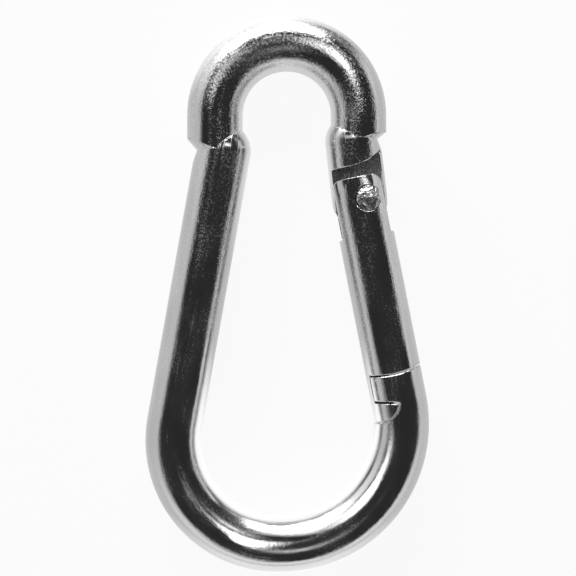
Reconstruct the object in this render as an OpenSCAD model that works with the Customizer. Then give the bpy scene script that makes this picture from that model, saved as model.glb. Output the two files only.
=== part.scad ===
// Spring snap hook bent from round steel bar, with a hinged spring gate.
// It lies flat: the hook's plane is XY, the small eye is at +Y, the gate is at +X.
// The origin is the middle of the hook's outline, on the surface that it lies on.

/* [Hook] */
// Overall length, from the top of the small eye to the bottom of the bow
hook_length = 100; // [96:1:115]
// Diameter of the bar that the hook is bent from
rod_d = 10; // [9.6:0.1:10.4]
// Inside diameter of the small eye
eye_inside_d = 15.8; // [14:0.2:18]
// Inside radius of the bow on the spine's side
spine_bow_inside_r = 13.7; // [12:0.1:16]
// Inside radius of the bow on the gate's side
gate_bow_inside_r = 16.7; // [15:0.1:19]
// How far the middle of the bow lies from the middle of the eye, towards the spine
bow_shift = 1.4; // [0.5:0.1:2]
// Length of the straight bar at the bottom of the bow
bow_flat = 0.6; // [0.6:0.1:2]
// Lean of the spine, in degrees from the hook's length
spine_tilt = 10.1; // [8:0.1:11]
// Lean of the gate, in degrees from the hook's length
gate_tilt = 11.15; // [9:0.05:12]

/* [Pinched shoulders] */
// How far the spine's rounded top lies below the middle of the eye
spine_top_drop = 6.4; // [5.8:0.1:7]
// How far the hinge leg's rounded top lies below the middle of the eye
leg_top_drop = 4.8; // [4.4:0.1:5.2]
// How far the hinge leg's top lies inside the centre line of the eye's bar
leg_top_inset = 1; // [0.8:0.1:1.2]
// How far the spine's pinch lies below the middle of the eye
spine_pinch_drop = 6.25; // [5.8:0.05:6.6]
// How far the hinge leg's pinch lies below the middle of the eye
leg_pinch_drop = 4.25; // [4:0.05:4.6]
// Depth of the spine's pinch, on the outer side
spine_pinch_depth = 0.35; // [0.3:0.05:0.6]
// Depth of the hinge leg's pinch, on the outer side
leg_pinch_depth = 0.55; // [0.4:0.05:0.7]
// How far the round jaws sat towards the inside at the spine's pinch
spine_jaw_shift = 0.6; // [0.5:0.1:1]
// How far the round jaws sat towards the inside at the hinge leg's pinch
leg_jaw_shift = 1.2; // [0.8:0.1:1.4]
// Angle between the hook's length and the face above the spine's pinch
spine_pinch_angle = 42; // [38:1:48]
// Angle between the hook's length and the face above the hinge leg's pinch
leg_pinch_angle = 52; // [46:1:56]
// Angle between the hook's length and the faces below both pinches
pinch_lower_angle = 19; // [17:1:21]

/* [Hinge] */
// How far the rivet lies below the middle of the eye
rivet_drop = 15; // [14:0.1:16]
// How far the rivet lies outside the gate's centre line
rivet_offset = 1.4; // [1.1:0.05:1.6]
// Diameter of the rivet's shank
rivet_d = 3; // [2.6:0.1:3.4]
// Diameter of the rivet's heads
rivet_head_d = 4.44; // [4.2:0.02:4.8]
// How far each rivet head stands proud of the bar
rivet_proud = 0.3; // [0.1:0.05:0.5]
// Height of the domed part of a rivet head
rivet_dome_h = 0.6; // [0.4:0.05:0.8]
// Depth of the round seat under each rivet head, from the top of the bar
rivet_seat_depth = 1.4; // [1.2:0.1:1.6]
// Thickness of the flat tongue that the gate hinges on
tongue_t = 4.4; // [4:0.1:4.8]
// Height of the shoulder over the rivet, on the inner side
shoulder_inner_h = 6; // [5.9:0.1:7]
// Height of the shoulder over the rivet, on the outer side
shoulder_outer_h = 9.4; // [8.4:0.1:10]

/* [Gate] */
// Height of the gate's ears over the rivet
ear_h = 4.1; // [3.8:0.1:4.2]
// Radius of the ears' inner top corner
ear_inner_corner_r = 1.6; // [1.4:0.1:1.8]
// Radius of the ears' outer top corner
ear_outer_corner_r = 1.8; // [1:0.1:2]
// Depth of the fork under the rivet
fork_depth = 6.5; // [6.2:0.1:7.5]
// Width of the staking groove over each rivet head
stake_groove_w = 2.1; // [1.6:0.1:2.4]
// Depth of the staking groove
stake_groove_depth = 0.14; // [0.08:0.02:0.2]

/* [Latch] */
// Radius of the arc that the gate's end is cut to
gate_end_r = 21.6; // [20:0.2:28]
// Length of the nose from the bow to the gate's end, along the gate
nose_length = 4.9; // [4.4:0.1:5.4]
// Thickness of the key that joins the gate to its barb
key_t = 4.3; // [4:0.1:4.6]
// How far the key's outer face lies inside the gate's centre line
key_inset = 1.1; // [0.9:0.1:1.5]
// How far the flat of the notch lies below the gate's end
notch_drop = 4.6; // [4.4:0.1:5.2]
// Radius of the round flank of the notch
notch_r = 3.9; // [3.6:0.1:4.1]

/* [Spring and plunger] */
// Diameter of the plunger
plunger_d = 3.6; // [3.2:0.1:3.8]
// Length of the plunger
plunger_length = 6; // [5:0.5:8]
// Solid length left between the spring's chamber and the gate's end
gate_end_wall = 6; // [5:0.5:9]
// Diameter of the spring's wire
spring_wire_d = 0.8; // [0.7:0.05:0.85]
// Least distance between the spring's turns
spring_pitch = 1.6; // [1.4:0.1:2]

/* [Clearances] */
// Gap on each side of the tongue in the fork, and of the key in its slot
side_gap = 0.1; // [0.08:0.01:0.15]
// Radial gap of the rivet in the tongue
rivet_gap = 0.05; // [0.02:0.01:0.08]
// Radial gap of the peened rivet in the ears
peened_gap = 0.02; // [0.01:0.01:0.03]
// Radial gap round the rivet's heads in their seats
seat_gap = 0.12; // [0.08:0.01:0.16]
// Gap between the gate's end and the nose
seam_gap = 0.25; // [0.2:0.05:0.4]
// Gap between the barb's top and the flat of the notch
barb_top_gap = 0.35; // [0.25:0.05:0.5]
// Gap between the barb and the flank of the notch
barb_flank_gap = 0.28; // [0.25:0.01:0.35]
// Radial gap of the plunger in its bore
plunger_gap = 0.1; // [0.08:0.01:0.15]
// Radial gap of the spring in its bore
spring_gap = 0.2; // [0.15:0.01:0.25]
// Gap left at each face that the spring and the plunger press on
touch_gap = 0.02; // [0.01:0.01:0.03]

/* [Hidden] */

rod_r = rod_d / 2;
steel = "silver";
spring_steel = "slategray";
round_fn = 64;
bend_fn = 160;
far = 60;
// The straight stretches of bar are thinner than the bends by this much, and reach into them
step = 0.03;
reach_in = 0.3;
straight_r = rod_r - step;

// Centre lines of the bent bar
eye_r = eye_inside_d / 2 + rod_r;
spine_bow_r = spine_bow_inside_r + rod_r;
gate_bow_r = gate_bow_inside_r + rod_r;
eye_x = bow_shift - (gate_bow_r - spine_bow_r) / 2;
bow_x = eye_x - bow_shift;
eye_y = hook_length / 2 - rod_r - eye_r;
bow_y = -hook_length / 2 + rod_r;
mid_z = rod_r + rivet_proud;
spine_centre = [bow_x - bow_flat / 2, bow_y + spine_bow_r];
gate_centre = [bow_x + bow_flat / 2, bow_y + gate_bow_r];
// The spine and the gate leave the bow along its tangents
spine_foot = spine_centre + spine_bow_r * [-cos(spine_tilt), sin(spine_tilt)];
gate_foot = gate_centre + gate_bow_r * [cos(gate_tilt), sin(gate_tilt)];
spine_length = (eye_y - spine_top_drop - spine_foot.y) / cos(spine_tilt);
// The gate's length and the radius of its end round the rivet
rivet_y = eye_y - rivet_drop;
rivet_height = (rivet_y - rivet_offset * sin(gate_tilt) - gate_foot.y) / cos(gate_tilt);
gate_reach = rivet_height - nose_length;
gate_end_drop = gate_reach - gate_end_r;
// The hinge leg runs from the gate's centre line, beside the rivet, to its rounded top
leg_foot = gate_foot + rivet_height * [-sin(gate_tilt), cos(gate_tilt)];
leg_top = [eye_x + eye_r - leg_top_inset, eye_y - leg_top_drop];
leg_tilt = atan((leg_foot.x - leg_top.x) / (leg_top.y - leg_foot.y));
leg_length = norm(leg_top - leg_foot);
// The necks of the two pinches, which are square to the hook's length
spine_neck_y = eye_y - spine_pinch_drop;
spine_neck_x = spine_foot.x + (spine_neck_y - spine_foot.y) * tan(spine_tilt) + spine_jaw_shift;
spine_neck_r = rod_r / cos(spine_tilt) - spine_pinch_depth + spine_jaw_shift;
leg_neck_y = eye_y - leg_pinch_drop;
leg_neck_x = leg_foot.x - (leg_neck_y - leg_foot.y) * tan(leg_tilt) - leg_jaw_shift;
leg_neck_r = rod_r / cos(leg_tilt) - leg_pinch_depth + leg_jaw_shift;
pinch_rise = 3;
pinch_fall = 2.6;

// The fork, the tongue and the seats of the rivet
fork_w = tongue_t + 2 * side_gap;
heel_r = straight_r - step;
fork_bottom = -fork_depth;
seat_z = rod_r - rivet_seat_depth;
head_top_z = rod_r + rivet_proud;
dome_r = (pow(rivet_head_d / 2, 2) + pow(rivet_dome_h, 2)) / (2 * rivet_dome_h);
groove_r = (pow(stake_groove_w / 2, 2) + pow(stake_groove_depth, 2)) / (2 * stake_groove_depth);
ear_half_w = sqrt(pow(rod_r, 2) - pow(fork_w / 2, 2));

// The latch: the flat of the notch is square to the hook's length
slot_w = key_t + 2 * side_gap;
notch_y = rivet_y - gate_reach - notch_drop;
notch_x = gate_centre.x + sqrt(pow(gate_bow_r, 2) - pow(notch_y - gate_centre.y, 2)) - notch_r - step;
barb_r = notch_r - barb_flank_gap;
key_edge = -rivet_offset - key_inset;
key_foot = -gate_reach - notch_drop - barb_top_gap - barb_r / 5;
slot_edge = key_edge + side_gap;

// The spring's chamber in the gate
plunger_top = -heel_r - touch_gap;
plunger_foot = plunger_top - plunger_length;
spring_top = plunger_foot - touch_gap;
bore_bottom = -gate_reach + gate_end_wall;
spring_foot = bore_bottom + touch_gap;
spring_length = spring_top - spring_foot;
spring_turns = max(1, floor(spring_length / spring_pitch));
bore_r = plunger_d / 2 + plunger_gap;
coil_r = bore_r - spring_gap - spring_wire_d / 2;
coil_rings = 18;
wire_sides = 10;

// Bar along +Y from y0 to y1, on the local centre line
module bar(y0, y1, r = straight_r)
    translate([0, y0, 0])
        rotate([-90, 0, 0])
            cylinder(h = y1 - y0, r = r, $fn = round_fn);

// Bar along +Y from y0 to y1, with a round end at y1
module domed_bar(y0, y1) {
    bar(y0, y1);
    translate([0, y1, 0])
        rotate([-90, 0, 0])
            sphere(r = straight_r, $fn = round_fn);
}

// Bar bent round the local origin from angle a0 to a1
module bend(radius, a0, a1)
    rotate([0, 0, a0])
        rotate_extrude(angle = a1 - a0, $fn = bend_fn)
            translate([radius, 0])
                circle(r = rod_r, $fn = round_fn);

// Frame at the foot of the spine, with +Y up along the spine
module on_spine()
    translate([spine_foot.x, spine_foot.y, mid_z])
        rotate([0, 0, -spine_tilt])
            children();

// Frame at the foot of the hinge leg, with +Y up along the leg
module on_leg()
    translate([leg_foot.x, leg_foot.y, mid_z])
        rotate([0, 0, leg_tilt])
            children();

// Frame at the foot of the nose, with +Y up along the gate
module on_gate_line()
    translate([gate_foot.x, gate_foot.y, mid_z])
        rotate([0, 0, gate_tilt])
            children();

// Frame at the rivet, with +Y up along the gate and +X outwards
module at_rivet()
    on_gate_line()
        translate([rivet_offset, rivet_height, 0])
            children();

// Both faces of the hook, for features that repeat on top and below
module both_faces()
    for (side = [0, 1])
        mirror([0, 0, side])
            children();

// Frame at a pinch's neck, with a Z axis along the hook's length
module at_neck(x, y)
    translate([x, y, mid_z])
        rotate([-90, 0, 0])
            children();

// Space that the jaws leave empty: all below a neck, and all outside a cone that widens upwards
module pinch_waste(neck_r, angle)
    rotate_extrude($fn = bend_fn)
        polygon([
            [0, -far / 3], [rod_d * 1.5, -far / 3], [rod_d * 1.5, pinch_rise],
            [neck_r + pinch_rise * tan(angle), pinch_rise], [neck_r, 0], [0, 0]
        ]);

// Ring that presses the V groove of a pinch
module pinch_groove(neck_r, angle)
    rotate_extrude($fn = bend_fn)
        polygon([
            [neck_r, 0], [neck_r + pinch_fall * tan(pinch_lower_angle), -pinch_fall],
            [rod_d * 1.5, -pinch_fall], [rod_d * 1.5, pinch_rise],
            [neck_r + pinch_rise * tan(angle), pinch_rise]
        ]);

// Small eye: half a ring with two short straight ends, each pressed in at its neck
module eye_bend() {
    straight = max(spine_top_drop, leg_top_drop) + 1;
    difference() {
        translate([eye_x, eye_y, mid_z]) {
            bend(eye_r, 0, 180);
            for (side = [-1, 1])
                translate([side * eye_r, 0, 0])
                    bar(-straight, reach_in);
        }
        at_neck(spine_neck_x, spine_neck_y)
            pinch_waste(spine_neck_r, spine_pinch_angle);
        at_neck(leg_neck_x, leg_neck_y)
            pinch_waste(leg_neck_r, leg_pinch_angle);
    }
}

// Straight spine with a rounded top
module spine()
    on_spine()
        domed_bar(-reach_in, spine_length);

// Wide bow from the spine round to the nose
module bow() {
    translate([spine_centre.x, spine_centre.y, mid_z])
        bend(spine_bow_r, 180 - spine_tilt, 270);
    translate([gate_centre.x, gate_centre.y, mid_z])
        bend(gate_bow_r, -90, gate_tilt);
    translate([bow_x, bow_y, mid_z])
        rotate([0, 0, 90])
            bar(-bow_flat / 2 - reach_in, bow_flat / 2 + reach_in);
}

// Round post that the gate's end and the nose are cut to, straight below the rivet
module end_post(r)
    at_rivet()
        rotate([0, 0, -gate_tilt])
            translate([0, -gate_end_drop, 0])
                cylinder(h = far, r = r, center = true, $fn = bend_fn);

// Everything above the middle of that post
module above_end_post()
    at_rivet()
        rotate([0, 0, -gate_tilt])
            translate([-far / 2, -gate_end_drop, -far / 2])
                cube(far);

// Nose, ended by the arc that the gate's end is cut to
module nose()
    difference() {
        on_gate_line()
            bar(-reach_in, rivet_height - gate_reach + rod_d);
        end_post(gate_end_r + seam_gap);
    }

// Everything below the shoulder, seen from above in the rivet's frame
module below_shoulder()
    polygon([
        [-rod_d, -rod_d], [-rod_d, shoulder_inner_h], [-rod_d / 10, shoulder_inner_h + 0.2],
        [rod_d / 8, shoulder_inner_h + 0.6], [rod_d, shoulder_outer_h + 2], [rod_d, -rod_d]
    ]);

// Everything below the foot of the hinge leg, but for its round heel
module below_heel()
    difference() {
        on_leg()
            translate([-rod_d, -2 * rod_d, -rod_d])
                cube(2 * rod_d);
        translate([leg_foot.x, leg_foot.y, mid_z])
            cylinder(h = far, r = heel_r, center = true, $fn = bend_fn);
    }

// Leg under the eye, milled to a flat tongue with a round heel
module hinge_leg()
    difference() {
        on_leg()
            domed_bar(-rod_d, leg_length);
        below_heel();
        at_rivet()
            both_faces()
                translate([0, 0, tongue_t / 2])
                    linear_extrude(rod_r)
                        below_shoulder();
        at_rivet()
            cylinder(h = far, r = rivet_d / 2 + rivet_gap, center = true, $fn = round_fn);
    }

// Crosswise notch or barb: flat above, quarter round below, open to the inner side
module hooked_form(r, top_gap, width) {
    translate([notch_x, notch_y - top_gap, -width / 2]) {
        intersection() {
            translate([0, top_gap, 0])
                cylinder(h = width, r = r, $fn = bend_fn);
            translate([0, -r, 0])
                cube([r + 1, r, width]);
        }
        translate([-rod_d, -r + top_gap, 0])
            cube([rod_d, r - top_gap, width]);
    }
}

// The slot for the key, from the gate's end down to the notch
module key_slot()
    intersection() {
        at_rivet()
            translate([slot_edge - rod_d, -far, -slot_w / 2])
                cube([rod_d, far - rod_d, slot_w]);
        translate([0, notch_y - step, 0])
            cube([far, far, far]);
    }

module body()
    color(steel)
        difference() {
            union() {
                eye_bend();
                spine();
                bow();
                nose();
                hinge_leg();
            }
            at_neck(spine_neck_x, spine_neck_y)
                pinch_groove(spine_neck_r, spine_pinch_angle);
            at_neck(leg_neck_x, leg_neck_y)
                pinch_groove(leg_neck_r, leg_pinch_angle);
            translate([0, 0, mid_z])
                hooked_form(notch_r, 0, far / 2);
            key_slot();
        }

// Rounds one top corner of the ears: the square that is left outside the corner's circle
module corner_waste(r)
    difference() {
        translate([0, 0, -far / 2])
            cube([rod_d, rod_d, far]);
        cylinder(h = far + 1, r = r, center = true, $fn = round_fn);
    }

// Fork, rivet seats, rivet hole and spring chamber that are cut in the gate
module gate_cuts() {
    translate([-far / 2, fork_bottom, -fork_w / 2])
        cube([far, far, fork_w]);
    translate([-rivet_offset - ear_half_w + ear_inner_corner_r, ear_h - ear_inner_corner_r, 0])
        mirror([1, 0, 0])
            corner_waste(ear_inner_corner_r);
    translate([-rivet_offset + ear_half_w - ear_outer_corner_r, ear_h - ear_outer_corner_r, 0])
        corner_waste(ear_outer_corner_r);
    cylinder(h = far, r = rivet_d / 2 + peened_gap, center = true, $fn = round_fn);
    both_faces() {
        translate([0, 0, seat_z])
            cylinder(h = rod_r, r = rivet_head_d / 2 + seat_gap, $fn = round_fn);
        translate([0, 0, rod_r + groove_r - stake_groove_depth])
            bar(0, rod_d, r = groove_r);
    }
    translate([-rivet_offset, 0, 0])
        bar(bore_bottom, fork_bottom + step, r = bore_r);
}

module gate()
    color(steel) {
        difference() {
            intersection() {
                at_rivet()
                    translate([-rivet_offset, 0, 0])
                        bar(-far, ear_h);
                union() {
                    end_post(gate_end_r);
                    above_end_post();
                    at_rivet()
                        translate([key_edge - rod_d, key_foot, -key_t / 2])
                            cube([rod_d, rod_d, key_t]);
                    translate([0, 0, mid_z])
                        hooked_form(barb_r, barb_top_gap, far / 2);
                }
            }
            at_rivet()
                gate_cuts();
        }
    }

// Peened rivet with a low domed head in each seat
module hinge_rivet()
    color(steel)
        at_rivet() {
            cylinder(h = 2 * seat_z, r = rivet_d / 2, center = true, $fn = round_fn);
            both_faces()
                intersection() {
                    translate([0, 0, seat_z])
                        cylinder(h = rod_r, r = rivet_head_d / 2, $fn = round_fn);
                    translate([0, 0, head_top_z - dome_r])
                        sphere(r = dome_r, $fn = bend_fn);
                }
        }

// Pin that the spring presses against the tongue's heel
module plunger()
    color(spring_steel)
        at_rivet()
            translate([-rivet_offset, 0, 0])
                bar(plunger_foot, plunger_top, r = plunger_d / 2);

// Point of the spring's wire: t runs from 0 to 1 along the coil, s round the wire
function coil_point(t, s) =
    let (
        turn = 360 * spring_turns * t,
        ring = 360 * s,
        reach = coil_r + spring_wire_d / 2 * cos(ring),
        rise = spring_wire_d / 2 + (spring_length - spring_wire_d) * t
    )
    [reach * cos(turn), rise + spring_wire_d / 2 * sin(ring), reach * sin(turn)];

module closing_spring() {
    rings = coil_rings * spring_turns;
    points = [for (i = [0:rings]) for (j = [0:wire_sides - 1]) coil_point(i / rings, j / wire_sides)];
    skin = [for (i = [0:rings - 1]) for (j = [0:wire_sides - 1])
        let (k = (j + 1) % wire_sides, a = i * wire_sides, b = a + wire_sides)
        [a + j, a + k, b + k, b + j]];
    ends = [
        [for (j = [wire_sides - 1:-1:0]) j],
        [for (j = [0:wire_sides - 1]) rings * wire_sides + j]
    ];
    color(spring_steel)
        at_rivet()
            translate([-rivet_offset, spring_foot, 0])
                polyhedron(points = points, faces = concat(skin, ends), convexity = 10);
}

body();
gate();
hinge_rivet();
plunger();
closing_spring();
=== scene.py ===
"""Spring snap hook of bent, plated steel bar, lying flat on a pale table."""
import math

import bmesh
import bpy
import numpy as np
from mathutils import Matrix, Vector
from mathutils.bvhtree import BVHTree


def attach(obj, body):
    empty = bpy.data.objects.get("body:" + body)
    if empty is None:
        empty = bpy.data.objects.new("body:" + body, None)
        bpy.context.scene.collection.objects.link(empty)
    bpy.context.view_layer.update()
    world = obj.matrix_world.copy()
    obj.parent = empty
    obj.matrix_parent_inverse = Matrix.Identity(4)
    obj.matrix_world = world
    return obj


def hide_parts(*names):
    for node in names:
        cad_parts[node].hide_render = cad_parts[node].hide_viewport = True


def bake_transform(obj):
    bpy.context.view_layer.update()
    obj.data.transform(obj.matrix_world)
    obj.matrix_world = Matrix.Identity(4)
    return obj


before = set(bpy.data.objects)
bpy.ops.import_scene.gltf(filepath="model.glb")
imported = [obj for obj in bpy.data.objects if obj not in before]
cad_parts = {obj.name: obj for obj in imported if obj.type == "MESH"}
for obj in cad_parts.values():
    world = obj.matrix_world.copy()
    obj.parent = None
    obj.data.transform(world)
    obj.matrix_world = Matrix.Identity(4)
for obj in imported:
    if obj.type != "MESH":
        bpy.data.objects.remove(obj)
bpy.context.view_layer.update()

# Lengths are in millimetres, unless their comment says metres
MM = 0.001
BAR_R = 5.0
MID_Z = 5.3
SIDES = 96
PAST_BAR = 9
PAST_ALL = 20

# Centre lines of the bent bar
EYE = Vector((-0.1, 32.1))
EYE_R = 12.9
EYE_STRAIGHT = 7.3
SPINE_BOW = Vector((-1.8, -26.3))
SPINE_BOW_R = 18.7
GATE_BOW = Vector((-1.2, -23.3))
GATE_BOW_R = 21.7
BOW_LOW = Vector((-1.8, -45))
BOW_STRAIGHT = 0.6
SPINE_TILT = math.radians(10.1)
GATE_TILT = math.radians(11.15)
SPINE_DROP = 6.4
RIVET_DROP = 15
SPINE_FOOT = SPINE_BOW + SPINE_BOW_R * Vector((-math.cos(SPINE_TILT), math.sin(SPINE_TILT)))
GATE_FOOT = GATE_BOW + GATE_BOW_R * Vector((math.cos(GATE_TILT), math.sin(GATE_TILT)))
SPINE_LENGTH = (EYE.y - SPINE_DROP - SPINE_FOOT.y) / math.cos(SPINE_TILT)
LEG_TOP = Vector((EYE.x + EYE_R - 1, EYE.y - 4.8))
RIVET_OFFSET = 1.4
RIVET_Y = EYE.y - RIVET_DROP
RIVET_UP = (RIVET_Y - RIVET_OFFSET * math.sin(GATE_TILT) - GATE_FOOT.y) / math.cos(GATE_TILT)
LEG_FOOT = GATE_FOOT + RIVET_UP * Vector((-math.sin(GATE_TILT), math.cos(GATE_TILT)))
LEG_TILT = math.atan2(LEG_FOOT.x - LEG_TOP.x, LEG_TOP.y - LEG_FOOT.y)
LEG_LENGTH = (LEG_TOP - LEG_FOOT).length
LEG_SPARE = 5.5
NOSE = 4.9
NOSE_SPARE = 5
REACH = RIVET_UP - NOSE
GATE_END_R = 21.6

# Pressed shoulders under the eye
PINCH_H = 3
PINCH_LOW = -2.6
PINCH_FLARE = 0.9
PINCH_OUT = 14

# Hinge and latch
TONGUE_T = 4.4
FORK_W = 4.6
FORK_DEPTH = 6.5
EAR_H = 4.1
EAR_ROUNDS = ((-1, 1.6), (1, 1.8))
HEAD_R = 2.22
HEAD_GAP = 0.12
HEAD_SEAT_Z = 3.6
HEAD_TOP_Z = 5.3
DOME_H = 0.6
SHANK_R = 1.5
GROOVE_HALF = 1.05
GROOVE_DEPTH = 0.14
KEY_T = 4.3
KEY_GAP = 0.1
SEAM = 0.25
NOTCH_DROP = 4.6
NOTCH_R = 3.9
BARB_R = NOTCH_R - 0.28
BARB_TOP_GAP = 0.35
NOTCH_Y = RIVET_Y - REACH - NOTCH_DROP
NOTCH_X = GATE_BOW.x + math.sqrt(GATE_BOW_R ** 2 - (NOTCH_Y - GATE_BOW.y) ** 2) - NOTCH_R
KEY_EDGE = -RIVET_OFFSET - 1.1

# Plunger and spring in the gate's bore
HEEL_R = 4.94
PLUNGER_L = 6
BORE_R = 1.9
BORE_END = 6
TOUCH = 0.02
PITCH = 1.6
SPRING_TOP = -HEEL_R - TOUCH - PLUNGER_L - TOUCH
SPRING_FOOT = -REACH + BORE_END + TOUCH
SPRING_TURNS = int((SPRING_TOP - SPRING_FOOT) / PITCH)
COIL_R = 1.3
WIRE_R = 0.4

# Broken edges: what is merged, dissolved and pulled back to the sharp shape, in metres
MERGE = 3e-5
SLIVER = 1e-5
OUTSIDE = 5e-6

# Camera: place, height and width of the view in metres, sensor in millimetres
CAMERA_PLACE = (0.000134, 0.00107)
CAMERA_UP = 0.4
VIEW_WIDTH = 0.10359712
SENSOR = 36


def at(x, y, turn=0.0):
    """A place on the hook's plane, turned in it, as a matrix in metres."""
    return Matrix.Translation((x * MM, y * MM, MID_Z * MM)) @ Matrix.Rotation(turn, 4, "Z")


ON_SPINE = at(SPINE_FOOT.x, SPINE_FOOT.y, -SPINE_TILT)
ON_GATE = at(GATE_FOOT.x, GATE_FOOT.y, GATE_TILT)
ON_LEG = at(LEG_FOOT.x, LEG_FOOT.y, LEG_TILT)
AT_RIVET = ON_GATE @ Matrix.Translation((RIVET_OFFSET * MM, RIVET_UP * MM, 0))
BELOW_RIVET = (AT_RIVET @ Matrix.Rotation(-GATE_TILT, 4, "Z")
               @ Matrix.Translation((0, (GATE_END_R - REACH) * MM, 0)))
FLAT = at(0, 0)
ALONG_Y = Matrix.Rotation(-math.pi / 2, 4, "X")


# ---------- shaping ----------

def ring(bm, place, radius=BAR_R, sides=SIDES):
    """A round section across the local Y axis."""
    made = bmesh.ops.create_circle(bm, cap_ends=False, segments=sides, radius=radius * MM,
                                   matrix=place @ ALONG_Y)
    return list({e for v in made["verts"] for e in v.link_edges})


def edge_verts(edges):
    return list({v for e in edges for v in e.verts})


def pull(bm, edges, way, length, steps=1):
    """Pulls a section straight on along a direction."""
    for _ in range(steps):
        made = bmesh.ops.extrude_edge_only(bm, edges=edges)["geom"]
        edges = [g for g in made if isinstance(g, bmesh.types.BMEdge)]
        bmesh.ops.translate(bm, verts=edge_verts(edges), vec=way * (length * MM / steps))
    return edges


def bend(bm, edges, centre, angle, steps):
    """Bends a section on round a centre of the hook's plane."""
    made = bmesh.ops.spin(bm, geom=edges, cent=(centre.x * MM, centre.y * MM, MID_Z * MM),
                          axis=(0, 0, 1), dvec=(0, 0, 0), angle=angle, steps=steps,
                          use_duplicate=False)
    return [g for g in made["geom_last"] if isinstance(g, bmesh.types.BMEdge)]


def dome(bm, edges, way, steps=14):
    """Rounds a section off to a half ball."""
    angle = math.pi / 2 / steps
    for k in range(1, steps):
        made = bmesh.ops.extrude_edge_only(bm, edges=edges)["geom"]
        edges = [g for g in made if isinstance(g, bmesh.types.BMEdge)]
        verts = edge_verts(edges)
        middle = sum((v.co for v in verts), Vector()) / len(verts)
        narrower = math.cos(k * angle) / math.cos((k - 1) * angle)
        bmesh.ops.scale(bm, verts=verts, vec=(narrower,) * 3, space=Matrix.Translation(-middle))
        rise = BAR_R * (math.sin(k * angle) - math.sin((k - 1) * angle))
        bmesh.ops.translate(bm, verts=verts, vec=way * (rise * MM))
    cap(bm, edges)


def cap(bm, edges):
    bmesh.ops.holes_fill(bm, edges=edges, sides=0)


def solid(name, bm):
    """Finishes a shape, normals outwards, and makes an object of it."""
    bmesh.ops.remove_doubles(bm, verts=bm.verts, dist=1e-6)
    bmesh.ops.recalc_face_normals(bm, faces=bm.faces)
    mesh = bpy.data.meshes.new(name)
    bm.to_mesh(mesh)
    bm.free()
    made = bpy.data.objects.new(name, mesh)
    bpy.context.scene.collection.objects.link(made)
    return made


def settle(piece):
    """Makes a piece's modifiers part of its mesh."""
    bpy.context.view_layer.update()
    seen = piece.evaluated_get(bpy.context.evaluated_depsgraph_get())
    mesh = bpy.data.meshes.new_from_object(seen)
    piece.modifiers.clear()
    piece.data = mesh
    return piece


def combine(piece, how, *tools):
    """Cuts, joins or keeps what is common, one tool after the other."""
    for tool in tools:
        step = piece.modifiers.new(how, "BOOLEAN")
        step.operation = how
        step.solver = "EXACT"
        step.object = tool
        settle(piece)
        bpy.data.objects.remove(tool)
    return piece


def cut(piece, *tools):
    return combine(piece, "DIFFERENCE", *tools)


def weld(piece, *tools):
    return combine(piece, "UNION", *tools)


def common(piece, *tools):
    return combine(piece, "INTERSECT", *tools)


def block(place, low, high):
    """A square block between two corners of a place."""
    bm = bmesh.new()
    size = [(h - l) * MM for l, h in zip(low, high)]
    middle = [(h + l) / 2 * MM for l, h in zip(low, high)]
    bmesh.ops.create_cube(bm, size=1, matrix=(
        place @ Matrix.Translation(middle) @ Matrix.Diagonal((*size, 1))))
    return solid("block", bm)


def disc(place, radius, low, high, sides=SIDES):
    """A round post along Z."""
    bm = bmesh.new()
    bmesh.ops.create_cone(bm, cap_ends=True, segments=sides, radius1=radius * MM, radius2=radius * MM,
                          depth=(high - low) * MM,
                          matrix=place @ Matrix.Translation((0, 0, (high + low) / 2 * MM)))
    return solid("disc", bm)


def rod(place, radius, low, high, x=0.0, z=0.0, sides=SIDES):
    """A round bar along Y."""
    bm = bmesh.new()
    start = place @ Matrix.Translation((x * MM, low * MM, z * MM))
    steps = max(1, round(high - low))
    pull(bm, ring(bm, start, radius, sides), place.to_3x3() @ Vector((0, 1, 0)), high - low, steps)
    cap(bm, [e for e in bm.edges if e.is_boundary])
    return solid("rod", bm)


def plate(place, outline, low, high):
    """A plate with the given outline, from low to high in Z."""
    bm = bmesh.new()
    face = bm.faces.new([bm.verts.new((x * MM, y * MM, low * MM)) for x, y in outline])
    made = bmesh.ops.extrude_face_region(bm, geom=[face])["geom"]
    bmesh.ops.translate(bm, verts=[g for g in made if isinstance(g, bmesh.types.BMVert)],
                        vec=(0, 0, (high - low) * MM))
    bmesh.ops.transform(bm, verts=bm.verts, matrix=place)
    return solid("plate", bm)


def turned(place, profile, steps=SIDES):
    """A shape turned round the local Y axis from a profile of (radius, height) points."""
    bm = bmesh.new()
    line = [bm.verts.new((r * MM, y * MM, 0)) for r, y in profile]
    edges = [bm.edges.new(pair) for pair in zip(line, line[1:])]
    bmesh.ops.spin(bm, geom=line + edges, cent=(0, 0, 0), axis=(0, 1, 0), dvec=(0, 0, 0),
                   angle=math.tau, steps=steps, use_merge=True, use_duplicate=False)
    bmesh.ops.transform(bm, verts=bm.verts, matrix=place)
    bmesh.ops.remove_doubles(bm, verts=bm.verts, dist=1e-6)
    return solid("turned", bm)


def arc(centre, radius, first, last, steps):
    return [(centre[0] + radius * math.cos(math.radians(first + (last - first) * k / steps)),
             centre[1] + radius * math.sin(math.radians(first + (last - first) * k / steps)))
            for k in range(steps + 1)]


# ---------- the bent bar ----------

def pinch_waste(place, neck_r, flare):
    """What the press leaves out under a neck of the eye's bar."""
    return turned(place, [(0, -PAST_ALL), (PINCH_OUT, -PAST_ALL), (PINCH_OUT, PINCH_H),
                          (neck_r + flare, PINCH_H), (neck_r, 0), (0, 0)])


def pinch_groove(place, neck_r, flare):
    """The pressed V groove that runs out on the outer side of a neck."""
    return turned(place, [(neck_r, 0), (neck_r + flare, PINCH_H), (PINCH_OUT, PINCH_H),
                          (PINCH_OUT, PINCH_LOW), (neck_r + PINCH_FLARE, PINCH_LOW), (neck_r, 0)])


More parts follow.
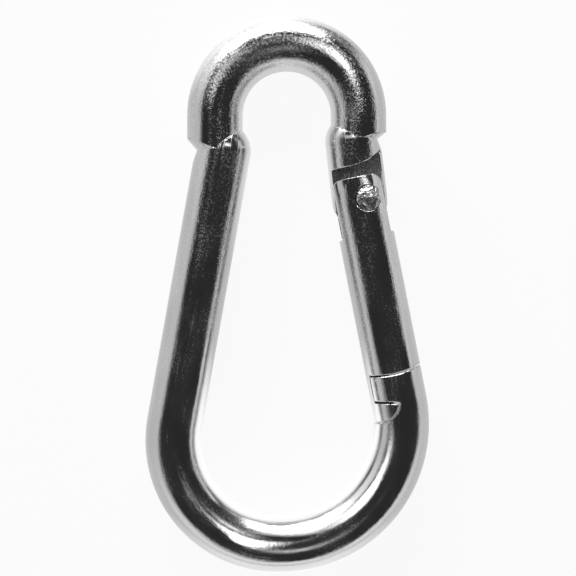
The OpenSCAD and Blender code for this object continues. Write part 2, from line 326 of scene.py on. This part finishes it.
# Place, neck radius and flare of each shoulder
SPINE_PINCH = (at(-10.9, 25.85), 5.33, 2.67)
HINGE_PINCH = (at(10.52, 27.87), 5.71, 3.8)


def eye_end():
    """The small eye, down to its two shoulders."""
    bm = bmesh.new()
    up = Vector((0, 1, 0))
    start = ring(bm, at(EYE.x + EYE_R, EYE.y - EYE_STRAIGHT))
    edges = pull(bm, start, up, EYE_STRAIGHT, 10)
    edges = bend(bm, edges, EYE, math.pi, 120)
    pull(bm, edges, -up, EYE_STRAIGHT, 10)
    cap(bm, [e for e in bm.edges if e.is_boundary])
    return cut(solid("eye", bm), pinch_waste(*SPINE_PINCH), pinch_waste(*HINGE_PINCH))


def long_bar():
    """Spine, bow and nose in one run of bar."""
    bm = bmesh.new()
    up = ON_SPINE.to_3x3() @ Vector((0, 1, 0))
    start = ring(bm, ON_SPINE @ Matrix.Translation((0, SPINE_LENGTH * MM, 0)))
    edges = pull(bm, start, -up, SPINE_LENGTH, 48)
    edges = bend(bm, edges, SPINE_BOW, math.radians(90) + SPINE_TILT, 90)
    edges = pull(bm, edges, Vector((1, 0, 0)), BOW_STRAIGHT)
    edges = bend(bm, edges, GATE_BOW, math.radians(90) + GATE_TILT, 90)
    edges = pull(bm, edges, ON_GATE.to_3x3() @ Vector((0, 1, 0)), NOSE + NOSE_SPARE, 10)
    cap(bm, edges)
    dome(bm, [e for e in bm.edges if e.is_boundary], up)
    made = solid("long_bar", bm)
    near = block(AT_RIVET, (-PAST_BAR, -REACH - 6, -PAST_BAR), (PAST_BAR, 0, PAST_BAR))
    return cut(made, common(disc(BELOW_RIVET, GATE_END_R + SEAM, -PAST_ALL, PAST_ALL, 360), near))


def notch_form(radius, top_gap, back):
    """Outline of the notch or the barb: flat above, quarter round below."""
    low = (0, -radius + top_gap)
    return [(NOTCH_X + x, NOTCH_Y - top_gap + y) for x, y in
            [(-10, 0), (-10, low[1]), low] + arc((0, top_gap), radius, -90, back, 24)[1:]]


def hinge_leg():
    """Leg over the rivet, milled on both faces to a tongue with a round heel."""
    bm = bmesh.new()
    up = ON_LEG.to_3x3() @ Vector((0, 1, 0))
    start = ring(bm, ON_LEG @ Matrix.Translation((0, -LEG_SPARE * MM, 0)))
    dome(bm, pull(bm, start, up, LEG_LENGTH + LEG_SPARE, 16), up)
    cap(bm, [e for e in bm.edges if e.is_boundary])
    made = solid("leg", bm)
    heel = arc((0, 0), HEEL_R, 180, 360, 48)
    under = [(-PAST_BAR, 0), (-PAST_BAR, -PAST_BAR), (PAST_BAR, -PAST_BAR), (PAST_BAR, 0)]
    cut(made, plate(ON_LEG, under + heel[::-1], -PAST_BAR, PAST_BAR))
    milled = [(-10, -12), (10, -12), (10, 11.4), (1.25, 6.6), (-1, 6.2), (-10, 6)]
    for low, high in ((TONGUE_T / 2, PAST_BAR), (-PAST_BAR, -TONGUE_T / 2)):
        cut(made, plate(AT_RIVET, milled, low, high))
    return made


def hook_body():
    """The whole bent bar: spine, bow, notched nose, eye, shoulders and tongue."""
    made = long_bar()
    cut(made, plate(FLAT, notch_form(NOTCH_R, 0, 0), -PAST_ALL, PAST_ALL))
    slot_edge, half = KEY_EDGE + KEY_GAP, KEY_T / 2 + KEY_GAP
    slot = block(AT_RIVET, (slot_edge - 10, -60, -half), (slot_edge, -20, half))
    keep = block(FLAT, (0, NOTCH_Y - 0.03, -PAST_BAR), (60, 40, PAST_BAR))
    cut(made, common(slot, keep))
    weld(made, eye_end(), hinge_leg())
    cut(made, pinch_groove(*SPINE_PINCH), pinch_groove(*HINGE_PINCH))
    made.name = "bent_bar"
    return made


def gate_arm():
    """The gate: fork, rivet seats, blind bore, and the key with its barb."""
    bar = rod(AT_RIVET, BAR_R, -REACH - 14, EAR_H, x=-RIVET_OFFSET)
    waste = block(AT_RIVET, (-PAST_ALL, -REACH - 30, -PAST_BAR), (PAST_ALL, -REACH + 9, PAST_BAR))
    cut(waste, disc(BELOW_RIVET, GATE_END_R, -PAST_ALL, PAST_ALL, 360))
    key_foot = -REACH - NOTCH_DROP - BARB_TOP_GAP - BARB_R / 5
    cut(waste, block(AT_RIVET, (KEY_EDGE - 10, key_foot, -KEY_T / 2),
                     (KEY_EDGE, key_foot + 20, KEY_T / 2)))
    back = -math.degrees(math.asin(BARB_TOP_GAP / BARB_R))
    cut(waste, plate(FLAT, notch_form(BARB_R, BARB_TOP_GAP, back), -15, 15))
    cut(bar, waste)
    cut(bar, block(AT_RIVET, (-PAST_ALL, -FORK_DEPTH, -FORK_W / 2), (PAST_ALL, PAST_ALL, FORK_W / 2)))
    half = math.sqrt(BAR_R ** 2 - (FORK_W / 2) ** 2)
    for side, r in EAR_ROUNDS:
        x, y = -RIVET_OFFSET + side * (half - r), EAR_H - r
        waste = [(x + side * PAST_BAR, y), (x + side * PAST_BAR, y + PAST_BAR), (x, y + PAST_BAR)]
        round_off = arc((x, y), r, 90, 90 - side * 90, 16)
        cut(bar, plate(AT_RIVET, waste + round_off, -PAST_BAR, PAST_BAR))
    groove_r = (GROOVE_HALF ** 2 + GROOVE_DEPTH ** 2) / (2 * GROOVE_DEPTH)
    for side in (-1, 1):
        low, high = sorted((side * HEAD_SEAT_Z, side * PAST_BAR))
        cut(bar, disc(AT_RIVET, HEAD_R + HEAD_GAP, low, high, 64))
        groove_z = side * (BAR_R + groove_r - GROOVE_DEPTH)
        cut(bar, rod(AT_RIVET, groove_r, 0, 10, z=groove_z, sides=64))
    cut(bar, rod(AT_RIVET, BORE_R, -REACH + BORE_END, -FORK_DEPTH + 0.5, x=-RIVET_OFFSET, sides=48))
    bar.name = "gate_arm"
    return bar


def rivet():
    """The hinge rivet: shank and two low domed heads."""
    dome_r = (HEAD_R ** 2 + DOME_H ** 2) / (2 * DOME_H)
    half = math.degrees(math.asin(HEAD_R / dome_r))
    top = arc((0, HEAD_TOP_Z - dome_r), dome_r, 90, 90 - half, 14)
    profile = top + [(HEAD_R, HEAD_SEAT_Z), (SHANK_R, HEAD_SEAT_Z)]
    profile += [(r, -z) for r, z in profile[::-1]]
    upright = AT_RIVET @ Matrix.Rotation(math.pi / 2, 4, "X")
    made = turned(upright, profile, 64)
    made.name = "peened_rivet"
    return made


def coil():
    """The spring, coiled in the gate's bore from the bore's end up to the plunger."""
    place = AT_RIVET @ Matrix.Translation((-RIVET_OFFSET * MM, 0, 0))
    bm = bmesh.new()
    rise = SPRING_TOP - SPRING_FOOT - 2 * WIRE_R
    steps = 24 * SPRING_TURNS
    bmesh.ops.create_circle(bm, cap_ends=False, segments=12, radius=WIRE_R * MM,
                            matrix=Matrix.Translation((COIL_R * MM, (SPRING_FOOT + WIRE_R) * MM, 0)))
    bmesh.ops.spin(bm, geom=bm.edges[:], cent=(0, 0, 0), axis=(0, 1, 0), dvec=(0, rise / steps * MM, 0),
                   angle=-math.tau * SPRING_TURNS, steps=steps, use_duplicate=False)
    cap(bm, [e for e in bm.edges if e.is_boundary])
    bmesh.ops.transform(bm, verts=bm.verts, matrix=place)
    made = solid("closing_coil", bm)
    made.data.shade_smooth()
    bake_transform(made)
    return made


# Runs of the bar in the order that it is bent, as (kind, start, way or radius, length or angles)
GATE_WAY = Vector((-math.sin(GATE_TILT), math.cos(GATE_TILT)))
LEG_WAY = Vector((-math.sin(LEG_TILT), math.cos(LEG_TILT)))
SPINE_WAY = Vector((math.sin(SPINE_TILT), math.cos(SPINE_TILT)))
RUNS = [
    ("straight", SPINE_FOOT + SPINE_WAY * SPINE_LENGTH, -SPINE_WAY, SPINE_LENGTH),
    ("bend", SPINE_BOW, SPINE_BOW_R, (math.pi - SPINE_TILT, 1.5 * math.pi)),
    ("straight", BOW_LOW, Vector((1, 0)), BOW_STRAIGHT),
    ("bend", GATE_BOW, GATE_BOW_R, (-math.pi / 2, GATE_TILT)),
    ("straight", GATE_FOOT, GATE_WAY, RIVET_UP),
    ("straight", LEG_FOOT, LEG_WAY, LEG_LENGTH),
    ("straight", EYE + Vector((EYE_R, -EYE_STRAIGHT)), Vector((0, 1)), EYE_STRAIGHT),
    ("bend", EYE, EYE_R, (0, math.pi)),
    ("straight", EYE + Vector((-EYE_R, 0)), Vector((0, -1)), EYE_STRAIGHT),
]


def on_bar(points):
    """Where points lie on the bar: along it, round it, off its surface, and straight out of it."""
    best = np.full(len(points), np.inf)
    along, around, off = np.zeros(len(points)), np.zeros(len(points)), np.zeros(len(points))
    out = np.zeros((len(points), 3))
    flat, rise = points[:, :2], points[:, 2] - MID_Z
    start = 0.0
    for kind, first, second, third in RUNS:
        if kind == "straight":
            way = np.array(second)
            reach = np.clip((flat - np.array(first)) @ way, 0, third)
            foot = np.array(first) + reach[:, None] * way
            side = (flat - foot) @ np.array((way[1], -way[0]))
            length = third
        else:
            spoke = flat - np.array(first)
            early = third[0] - 0.6
            turn = np.mod(np.arctan2(spoke[:, 1], spoke[:, 0]) - early, math.tau) + early
            turn = np.clip(turn, *third)
            foot = np.array(first) + second * np.stack((np.cos(turn), np.sin(turn)), 1)
            side = np.linalg.norm(spoke, axis=1) - second
            reach = (turn - third[0]) * second
            length = (third[1] - third[0]) * second
        arm = np.column_stack((flat - foot, rise))
        away = np.linalg.norm(arm, axis=1)
        cost = abs(away - BAR_R) + 0.01 * np.linalg.norm(flat - foot, axis=1)
        better = cost < best
        best[better] = cost[better]
        along[better] = start + reach[better]
        around[better] = np.arctan2(side, rise)[better]
        off[better] = (away - BAR_R)[better]
        out[better] = (arm / np.maximum(away, 1e-6)[:, None])[better]
        start += length
    return along, around, off, out


def numbers(items, name, width):
    """One value of every item of a mesh, as an array."""
    values = np.zeros(len(items) * width, dtype=np.int32 if name == "vertex_index" else np.float64)
    items.foreach_get(name, values)
    return values.reshape(-1, width) if width > 1 else values


def lay_along_bar(piece):
    """Gives a piece a map along and round its bar, and the bar's own smooth shading."""
    mesh = piece.data
    along, around, off, out = on_bar(numbers(mesh.vertices, "co", 3) / MM)
    corner_vert = numbers(mesh.loops, "vertex_index", 1)
    face_of = np.repeat(np.arange(len(mesh.polygons)), numbers(mesh.polygons, "loop_total", 1).astype(int))
    _, face_around, face_off, face_out = on_bar(numbers(mesh.polygons, "center", 3) / MM)
    turn = around[corner_vert] - face_around[face_of]
    turn = face_around[face_of] + np.mod(turn + math.pi, math.tau) - math.pi
    layer = mesh.uv_layers.new(name="along_bar")
    layer.data.foreach_set("uv", np.column_stack((along[corner_vert], turn * BAR_R)).ravel() / 100)
    kept = numbers(mesh.corner_normals, "vector", 3)
    facing = np.einsum("ij,ij->i", numbers(mesh.polygons, "normal", 3)[face_of], out[corner_vert])
    near = abs(off[corner_vert])
    round_skin = ((near < 0.012) & (facing > 0.7)) | ((near < 0.1) & (facing > 0.97))
    kept[round_skin] = out[corner_vert][round_skin]
    mesh.normals_split_custom_set([tuple(way) for way in kept])
    centre_z = abs(numbers(mesh.polygons, "center", 3)[:, 2] / MM - MID_Z)
    flat_face = (abs(numbers(mesh.polygons, "normal", 3)[:, 2]) > 0.99) & (centre_z < 2.5) & (centre_z > 2)
    for name, mask in (("drawn_skin", round_skin), ("milled", flat_face[face_of])):
        mesh.attributes.new(name, "FLOAT", "CORNER").data.foreach_set("value", mask.astype(np.float32))


def soften(piece, width, segments=3, angle=30):
    """Breaks the outer edges of a piece, keeps inner ones sharp, and shades it smooth."""
    sharp = BVHTree.FromObject(piece, bpy.context.evaluated_depsgraph_get())
    bm = bmesh.new()
    bm.from_mesh(piece.data)
    bmesh.ops.remove_doubles(bm, verts=bm.verts, dist=MERGE)
    bmesh.ops.dissolve_degenerate(bm, edges=bm.edges, dist=SLIVER)
    broken = bm.edges.layers.float.new("bevel_weight_edge")
    for edge in bm.edges:
        turn = edge.calc_face_angle_signed(0)
        if turn > math.radians(angle):
            edge[broken] = 1
        edge.smooth = turn > -math.radians(angle)
    bm.to_mesh(piece.data)
    bm.free()
    piece.data.shade_smooth()
    edge = piece.modifiers.new("broken_edges", "BEVEL")
    edge.width = width * MM
    edge.segments = segments
    edge.limit_method = "WEIGHT"
    edge.use_clamp_overlap = False
    edge.harden_normals = True
    settle(piece)
    for vert in piece.data.vertices:
        near, out, _, off = sharp.find_nearest(vert.co)
        if off > 0.6 * width * MM or (vert.co - near).dot(out) > OUTSIDE:
            vert.co = near
    return piece


bent_bar = soften(hook_body(), width=0.2)
gate_piece = soften(gate_arm(), width=0.16)
rivet_piece = soften(rivet(), width=0.12)
lay_along_bar(bent_bar)
lay_along_bar(gate_piece)
spring_piece = coil()
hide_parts("body")
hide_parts("gate")
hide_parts("hinge_rivet")
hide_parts("closing_spring")
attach(bent_bar, "hook")
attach(gate_piece, "gate")
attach(rivet_piece, "gate")


# ---------- finishes ----------

def node(tree, kind, *feeds, **settings):
    """Adds a node, with its settings, and links or sets its inputs in their order."""
    made = tree.nodes.new(kind)
    for key, value in settings.items():
        setattr(made, key, value)
    for place, feed in enumerate(feeds):
        if isinstance(feed, bpy.types.NodeSocket):
            tree.links.new(feed, made.inputs[place])
        elif feed is not None:
            made.inputs[place].default_value = feed
    return made


def maths(tree, how, first, second=None, third=None):
    return node(tree, "ShaderNodeMath", first, second, third, operation=how).outputs[0]


def spread(tree, value, low, high, to_low=0.0, to_high=1.0):
    """Stretches a value's range from low..high to another, and keeps it inside."""
    return node(tree, "ShaderNodeMapRange", value, low, high, to_low, to_high).outputs[0]


def scaled(tree, vector, size):
    return node(tree, "ShaderNodeMapping", vector, None, None, size).outputs[0]


def noise(tree, vector, scale, detail=2.0, roughness=0.5):
    made = node(tree, "ShaderNodeTexNoise", noise_dimensions="3D")
    tree.links.new(vector, made.inputs["Vector"])
    made.inputs["Scale"].default_value = scale
    made.inputs["Detail"].default_value = detail
    made.inputs["Roughness"].default_value = roughness
    return made.outputs["Factor" if "Factor" in made.outputs else "Fac"]


def group(name, inputs, outputs):
    """An empty node group with named sockets."""
    tree = bpy.data.node_groups.new(name, "ShaderNodeTree")
    for label, kind in inputs:
        tree.interface.new_socket(label, in_out="INPUT", socket_type="NodeSocket" + kind)
    for label, kind in outputs:
        tree.interface.new_socket(label, in_out="OUTPUT", socket_type="NodeSocket" + kind)
    return tree, tree.nodes.new("NodeGroupInput").outputs, tree.nodes.new("NodeGroupOutput").inputs


def round_spot(tree, where, middle, inner, outer, shine):
    """A soft round spot: full shine within the inner distance, none past the outer one."""
    away = node(tree, "ShaderNodeVectorMath", where, middle, operation="DISTANCE").outputs["Value"]
    return spread(tree, away, inner, outer, shine, 0.0)


def plating_group():
    """Bright zinc over drawn bar: fine grain, drawing lines along the bar and dull patches."""
    tree, given, result = group(
        "bright_plating",
        [("Skin", "Vector"), ("Grain", "Float"), ("Lines", "Float"), ("Milled", "Float")],
        [("Tone", "Float"), ("Roughness", "Float"), ("Height", "Float")])
    skin, grain, lines, milled = list(given)[:4]
    patches = spread(tree, noise(tree, scaled(tree, skin, (0.09, 0.3, 1)), 1.0, 3.0), 0.35, 0.65)
    grains = noise(tree, scaled(tree, skin, (0.8, 1, 1)), 2.4, 3.0, 0.7)
    bright = spread(tree, grains, 0.52, 0.62)
    drawn = noise(tree, scaled(tree, skin, (0.045, 1.6, 1)), 1.0, 4.0, 0.65)
    line = spread(tree, drawn, 0.56, 0.68)
    grain_here = maths(tree, "MULTIPLY", grain, maths(tree, "MULTIPLY_ADD", patches, 0.6, 0.4))
    line_here = maths(tree, "MULTIPLY", lines, maths(tree, "MULTIPLY_ADD", patches, 0.5, 0.5))
    dots = maths(tree, "MULTIPLY", bright, grain_here)
    tone = maths(tree, "MULTIPLY_ADD", dots, 0.1, 0.52)
    tone = maths(tree, "MULTIPLY_ADD", patches, 0.05, tone)
    tone = maths(tree, "MULTIPLY_ADD", milled, -0.08, tone)
    rough = maths(tree, "MULTIPLY_ADD", dots, 0.2, 0.07)
    rough = maths(tree, "MULTIPLY_ADD", maths(tree, "MULTIPLY", line, line_here), 0.25, rough)
    dull = maths(tree, "MULTIPLY_ADD", grain, -0.1, 0.19)
    dull = maths(tree, "MULTIPLY_ADD", milled, -0.1, dull)
    rough = maths(tree, "MULTIPLY_ADD", patches, dull, rough)
    rough = maths(tree, "MULTIPLY_ADD", milled, 0.15, rough)
    height = maths(tree, "MULTIPLY", grains, maths(tree, "MULTIPLY", grain_here, 0.06))
    height = maths(tree, "MULTIPLY_ADD", maths(tree, "MULTIPLY", drawn, line_here), 0.02, height)
    for value, socket in zip((tone, rough, height), result):
        tree.links.new(value, socket)
    return tree


plating = plating_group()


def steel(name, grain, lines, tint=(1, 1, 1), on_skin=False, dents=0.0):
    """Plated steel. On a drawn bar, the grain is strongest at the small eye's end."""
    material = bpy.data.materials.new(name)
    material.use_nodes = True
    tree = material.node_tree
    shader = tree.nodes["Principled BSDF"]
    shader.inputs["Metallic"].default_value = 1
    place = node(tree, "ShaderNodeTexCoord").outputs["Object"]
    made = node(tree, "ShaderNodeGroup", node_tree=plating)
    made.inputs["Grain"].default_value = grain
    made.inputs["Lines"].default_value = lines
    if on_skin:
        skin = node(tree, "ShaderNodeUVMap", uv_map="along_bar").outputs[0]
        tree.links.new(scaled(tree, skin, (100, 100, 100)), made.inputs["Skin"])
        up = node(tree, "ShaderNodeSeparateXYZ", place).outputs["Y"]
        whole = spread(tree, up, -0.018, 0.012, 0.45 * grain, grain)
        whole = maths(tree, "ADD", spread(tree, up, 0.024, 0.034, 0, 0.35 * grain), whole)
        drawn = node(tree, "ShaderNodeAttribute", attribute_name="drawn_skin").outputs["Fac"]
        milled = node(tree, "ShaderNodeAttribute", attribute_name="milled").outputs["Fac"]
        rough_skin = maths(tree, "MULTIPLY_ADD", milled, 0.5, drawn)
        tree.links.new(maths(tree, "MULTIPLY", whole, rough_skin), made.inputs["Grain"])
        tree.links.new(milled, made.inputs["Milled"])
    else:
        tree.links.new(scaled(tree, place, (1000, 1000, 1000)), made.inputs["Skin"])
        made.inputs["Milled"].default_value = 0.6 * grain
    tone = node(tree, "ShaderNodeMix", data_type="RGBA", blend_type="MULTIPLY")
    tone.inputs["Factor"].default_value = 1
    tree.links.new(made.outputs["Tone"], tone.inputs["A"])
    tone.inputs["B"].default_value = (*tint, 1)
    tree.links.new(tone.outputs["Result"], shader.inputs["Base Color"])
    tree.links.new(made.outputs["Roughness"], shader.inputs["Roughness"])
    height = made.outputs["Height"]
    if dents:
        hammered = noise(tree, scaled(tree, place, (1000, 1000, 1000)), 1.1, 2.0)
        height = maths(tree, "MULTIPLY_ADD", hammered, dents, height)
    relief = node(tree, "ShaderNodeBump")
    relief.inputs["Distance"].default_value = MM
    tree.links.new(height, relief.inputs["Height"])
    tree.links.new(relief.outputs[0], shader.inputs["Normal"])
    return material


plated = steel("plated_bar", 1.0, 0.8, on_skin=True)
plated_rivet = steel("plated_rivet", 0.8, 0.0, dents=0.48)
spring_steel = steel("spring_steel", 0.3, 0.3, tint=(0.6, 0.6, 0.6))
for piece, material, slot in ((bent_bar, plated, "plated_bar"), (gate_piece, plated, "plated_bar"),
                              (rivet_piece, plated_rivet, "plated_rivet"),
                              (spring_piece, spring_steel, "spring_steel")):
    piece.data.materials.clear()
    piece.data.materials.append(material)
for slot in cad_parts["plunger"].material_slots:
    slot.material = spring_steel


# ---------- table, light and camera ----------

def table():
    """Pale sheet, with its own brightness for the camera and, with painted pools of light and shade, for
    the steel.
    """
    bm = bmesh.new()
    bmesh.ops.create_grid(bm, x_segments=1, y_segments=1, size=1.5)
    made = solid("table", bm)
    material = bpy.data.materials.new("table_white")
    material.use_nodes = True
    tree = material.node_tree
    shader = tree.nodes["Principled BSDF"]
    shader.inputs["Base Color"].default_value = (0.85, 0.85, 0.85, 1)
    shader.inputs["Roughness"].default_value = 0.9
    path = node(tree, "ShaderNodeLightPath").outputs
    glow = node(tree, "ShaderNodeEmission")
    tree.links.new(sheet_light(tree, path), glow.inputs["Strength"])
    seen = maths(tree, "MAXIMUM", path["Is Camera Ray"], path["Is Glossy Ray"])
    share = maths(tree, "MULTIPLY", seen, 0.93)
    mix = node(tree, "ShaderNodeMixShader", share, shader.outputs[0], glow.outputs[0])
    tree.links.new(mix.outputs[0], tree.nodes["Material Output"].inputs["Surface"])
    made.data.materials.append(material)
    return made


# Painted pools of light and shade in the sheet's glow, seen only in the steel: x, y, where it is full and
# where it ends (metres), how much brighter (below zero, a painted darker pool)
PAINTED_POOLS = (
    (-0.016, 0.082, 0.026, 0.046, 1.0),
    (0.026, 0.082, 0.014, 0.026, -1.2),
    (0.0, -0.033, 0.010, 0.022, 1.0),
    (0.0, -0.085, 0.025, 0.05, 0.6),
    (0.0, 0.024, 0.006, 0.02, 0.3),
)


def sheet_light(tree, path):
    """How bright the sheet looks: plain to the camera, and to the steel with painted pools of light,
    brightest past the eye and inside the bow.
    """
    where = node(tree, "ShaderNodeTexCoord").outputs["Object"]
    glossy = 0.86
    # Painted light: each pool brightens or darkens the sheet where the steel mirrors it
    for x, y, inner, outer, shine in PAINTED_POOLS:
        glossy = maths(tree, "ADD", round_spot(tree, where, (x, y, 0), inner, outer, shine), glossy)
    other = maths(tree, "SUBTRACT", 1.0, path["Is Glossy Ray"])
    return maths(tree, "MULTIPLY_ADD", glossy, path["Is Glossy Ray"], other)


table()


# Lit spots in the dark ceiling: direction and brightness
CEILING_SPOTS = (((0.25, 0.42, 0.87), 2.5), ((-0.33, 0.3, 0.9), 2.0), ((0.05, -0.4, 0.91), 1.2))


def studio_sky():
    """Pale walls all round, brightest at +Y, under a dark ceiling with a few lit spots."""
    world = bpy.data.worlds.new("studio")
    bpy.context.scene.world = world
    world.use_nodes = True
    tree = world.node_tree
    back = tree.nodes["Background"]
    where = node(tree, "ShaderNodeTexCoord").outputs["Generated"]
    parts = node(tree, "ShaderNodeSeparateXYZ", where).outputs

    def by(axis, low, high, to_low=0.0, to_high=1.0):
        return spread(tree, parts[axis], low, high, to_low, to_high)

    wall = maths(tree, "ADD", by("Y", 0.2, 0.9, 0.9, 1.9), by("Y", -0.2, -0.9, 0, 0.35))
    wall = maths(tree, "MULTIPLY_ADD", parts["X"], 0.06, wall)
    gap = maths(tree, "MULTIPLY", by("X", 0.36, 0.42), by("Y", 0.6, 0.7, 0, 0.9))
    wall = maths(tree, "MULTIPLY", wall, maths(tree, "SUBTRACT", 1.0, gap))

    corner = maths(tree, "MULTIPLY", by("X", 0.3, 0.38, 0, 0.12), by("Y", 0.3, 0.5))
    front = maths(tree, "MULTIPLY", by("X", 0.3, 0.8, 0, 0.09), by("Y", -0.05, -0.4))
    side = maths(tree, "MULTIPLY", by("X", -0.3, -0.6, 0, 0.05), by("Y", -0.4, -0.7))
    edge = maths(tree, "MULTIPLY_ADD", parts["X"], 0.14, parts["Z"])
    edge = maths(tree, "MULTIPLY_ADD", parts["Y"], -0.09, edge)
    edge = maths(tree, "SUBTRACT", edge, maths(tree, "ADD", front, side))
    edge = maths(tree, "SUBTRACT", maths(tree, "ADD", edge, corner), 0.38)
    soft = maths(tree, "SUBTRACT", by("X", -0.6, 0.4, 0.09, 0.02), by("Y", 0.2, 0.6, 0, 0.05))
    soft = maths(tree, "MAXIMUM", soft, 0.02)
    level = maths(tree, "MULTIPLY_ADD", maths(tree, "DIVIDE", edge, soft), 0.5, 0.5)
    level = node(tree, "ShaderNodeClamp", level).outputs[0]

    ceiling = by("Y", 0.05, 0.6, 0.038, 0.03)
    for way, shine in CEILING_SPOTS:
        ceiling = maths(tree, "ADD", round_spot(tree, where, way, 0.05, 0.13, shine), ceiling)
    strength = node(tree, "ShaderNodeMix", data_type="FLOAT")
    tree.links.new(level, strength.inputs["Factor"])
    tree.links.new(wall, strength.inputs["A"])
    tree.links.new(ceiling, strength.inputs["B"])
    tree.links.new(strength.outputs["Result"], back.inputs["Strength"])
    back.inputs["Color"].default_value = (1, 1, 1, 1)


studio_sky()


def camera_above():
    """Looks straight down on the hook."""
    data = bpy.data.cameras.new("camera")
    data.sensor_width = SENSOR
    data.lens = SENSOR * CAMERA_UP / VIEW_WIDTH
    data.clip_start = 0.01
    made = bpy.data.objects.new("camera", data)
    bpy.context.scene.collection.objects.link(made)
    made.location = (*CAMERA_PLACE, CAMERA_UP + MID_Z * MM)
    bpy.context.scene.camera = made
    return made


camera = camera_above()


def lamp(name, place, towards, size, power, opening=180):
    """A rectangular lamp that the camera doesn't see. Places and sizes are in metres."""
    light = bpy.data.lights.new(name, "AREA")
    light.shape = "RECTANGLE"
    light.size, light.size_y = size
    light.energy = power
    light.spread = math.radians(opening)
    made = bpy.data.objects.new(name, light)
    bpy.context.scene.collection.objects.link(made)
    made.location = place
    made.rotation_euler = (Vector(towards) - Vector(place)).to_track_quat("-Z", "Y").to_euler()
    made.visible_camera = False
    return made


def reflector(name, x, y, size, shine, opening=60, far=0.07):
    """A lit card, sized along and across the bar, that the steel mirrors at x, y."""
    spot = np.array([[x, y, MID_Z + BAR_R]])
    for _ in range(6):
        _, _, off, out = on_bar(spot)
        spot[0] -= off[0] * out[0]
        spot[0, :2] = x, y
    place, out = Vector(spot[0]) * MM, Vector(on_bar(spot)[3][0])
    way = (place - camera.location).normalized().reflect(out)
    half = math.radians(opening / 2)
    power = shine * math.pi * size[0] * size[1] * (math.tan(half) - half)
    made = lamp(name, place + way * far, place, size, power, opening)
    level = Vector((out.x, out.y, 0))
    across = (level - way * way.dot(level)).normalized()
    made.rotation_euler = Matrix((across.cross(way), across, way)).transposed().to_euler()
    return made


lamp("far_softbox", (-0.12, 0.6, 0.22), (-0.05, 0, 0), (0.64, 0.3), 5.5)
reflector("eye_right", 8.8, 42.2, (0.014, 0.030), 12, 50)
reflector("eye_left", -11.9, 39.2, (0.010, 0.020), 8, 50)
reflector("bow_left", -7.6, -43.9, (0.005, 0.022), 13, 60, 0.035)
reflector("bow_right", 13.8, -36.3, (0.0020, 0.016), 14, 60, 0.03)
reflector("bow_inside", 2.5, -42.0, (0.0030, 0.014), 7, 60, 0.02)
reflector("above_rivet", 14.0, 20.1, (0.0016, 0.016), 8, 60, 0.02)

bpy.context.scene.view_settings.view_transform = "Standard"
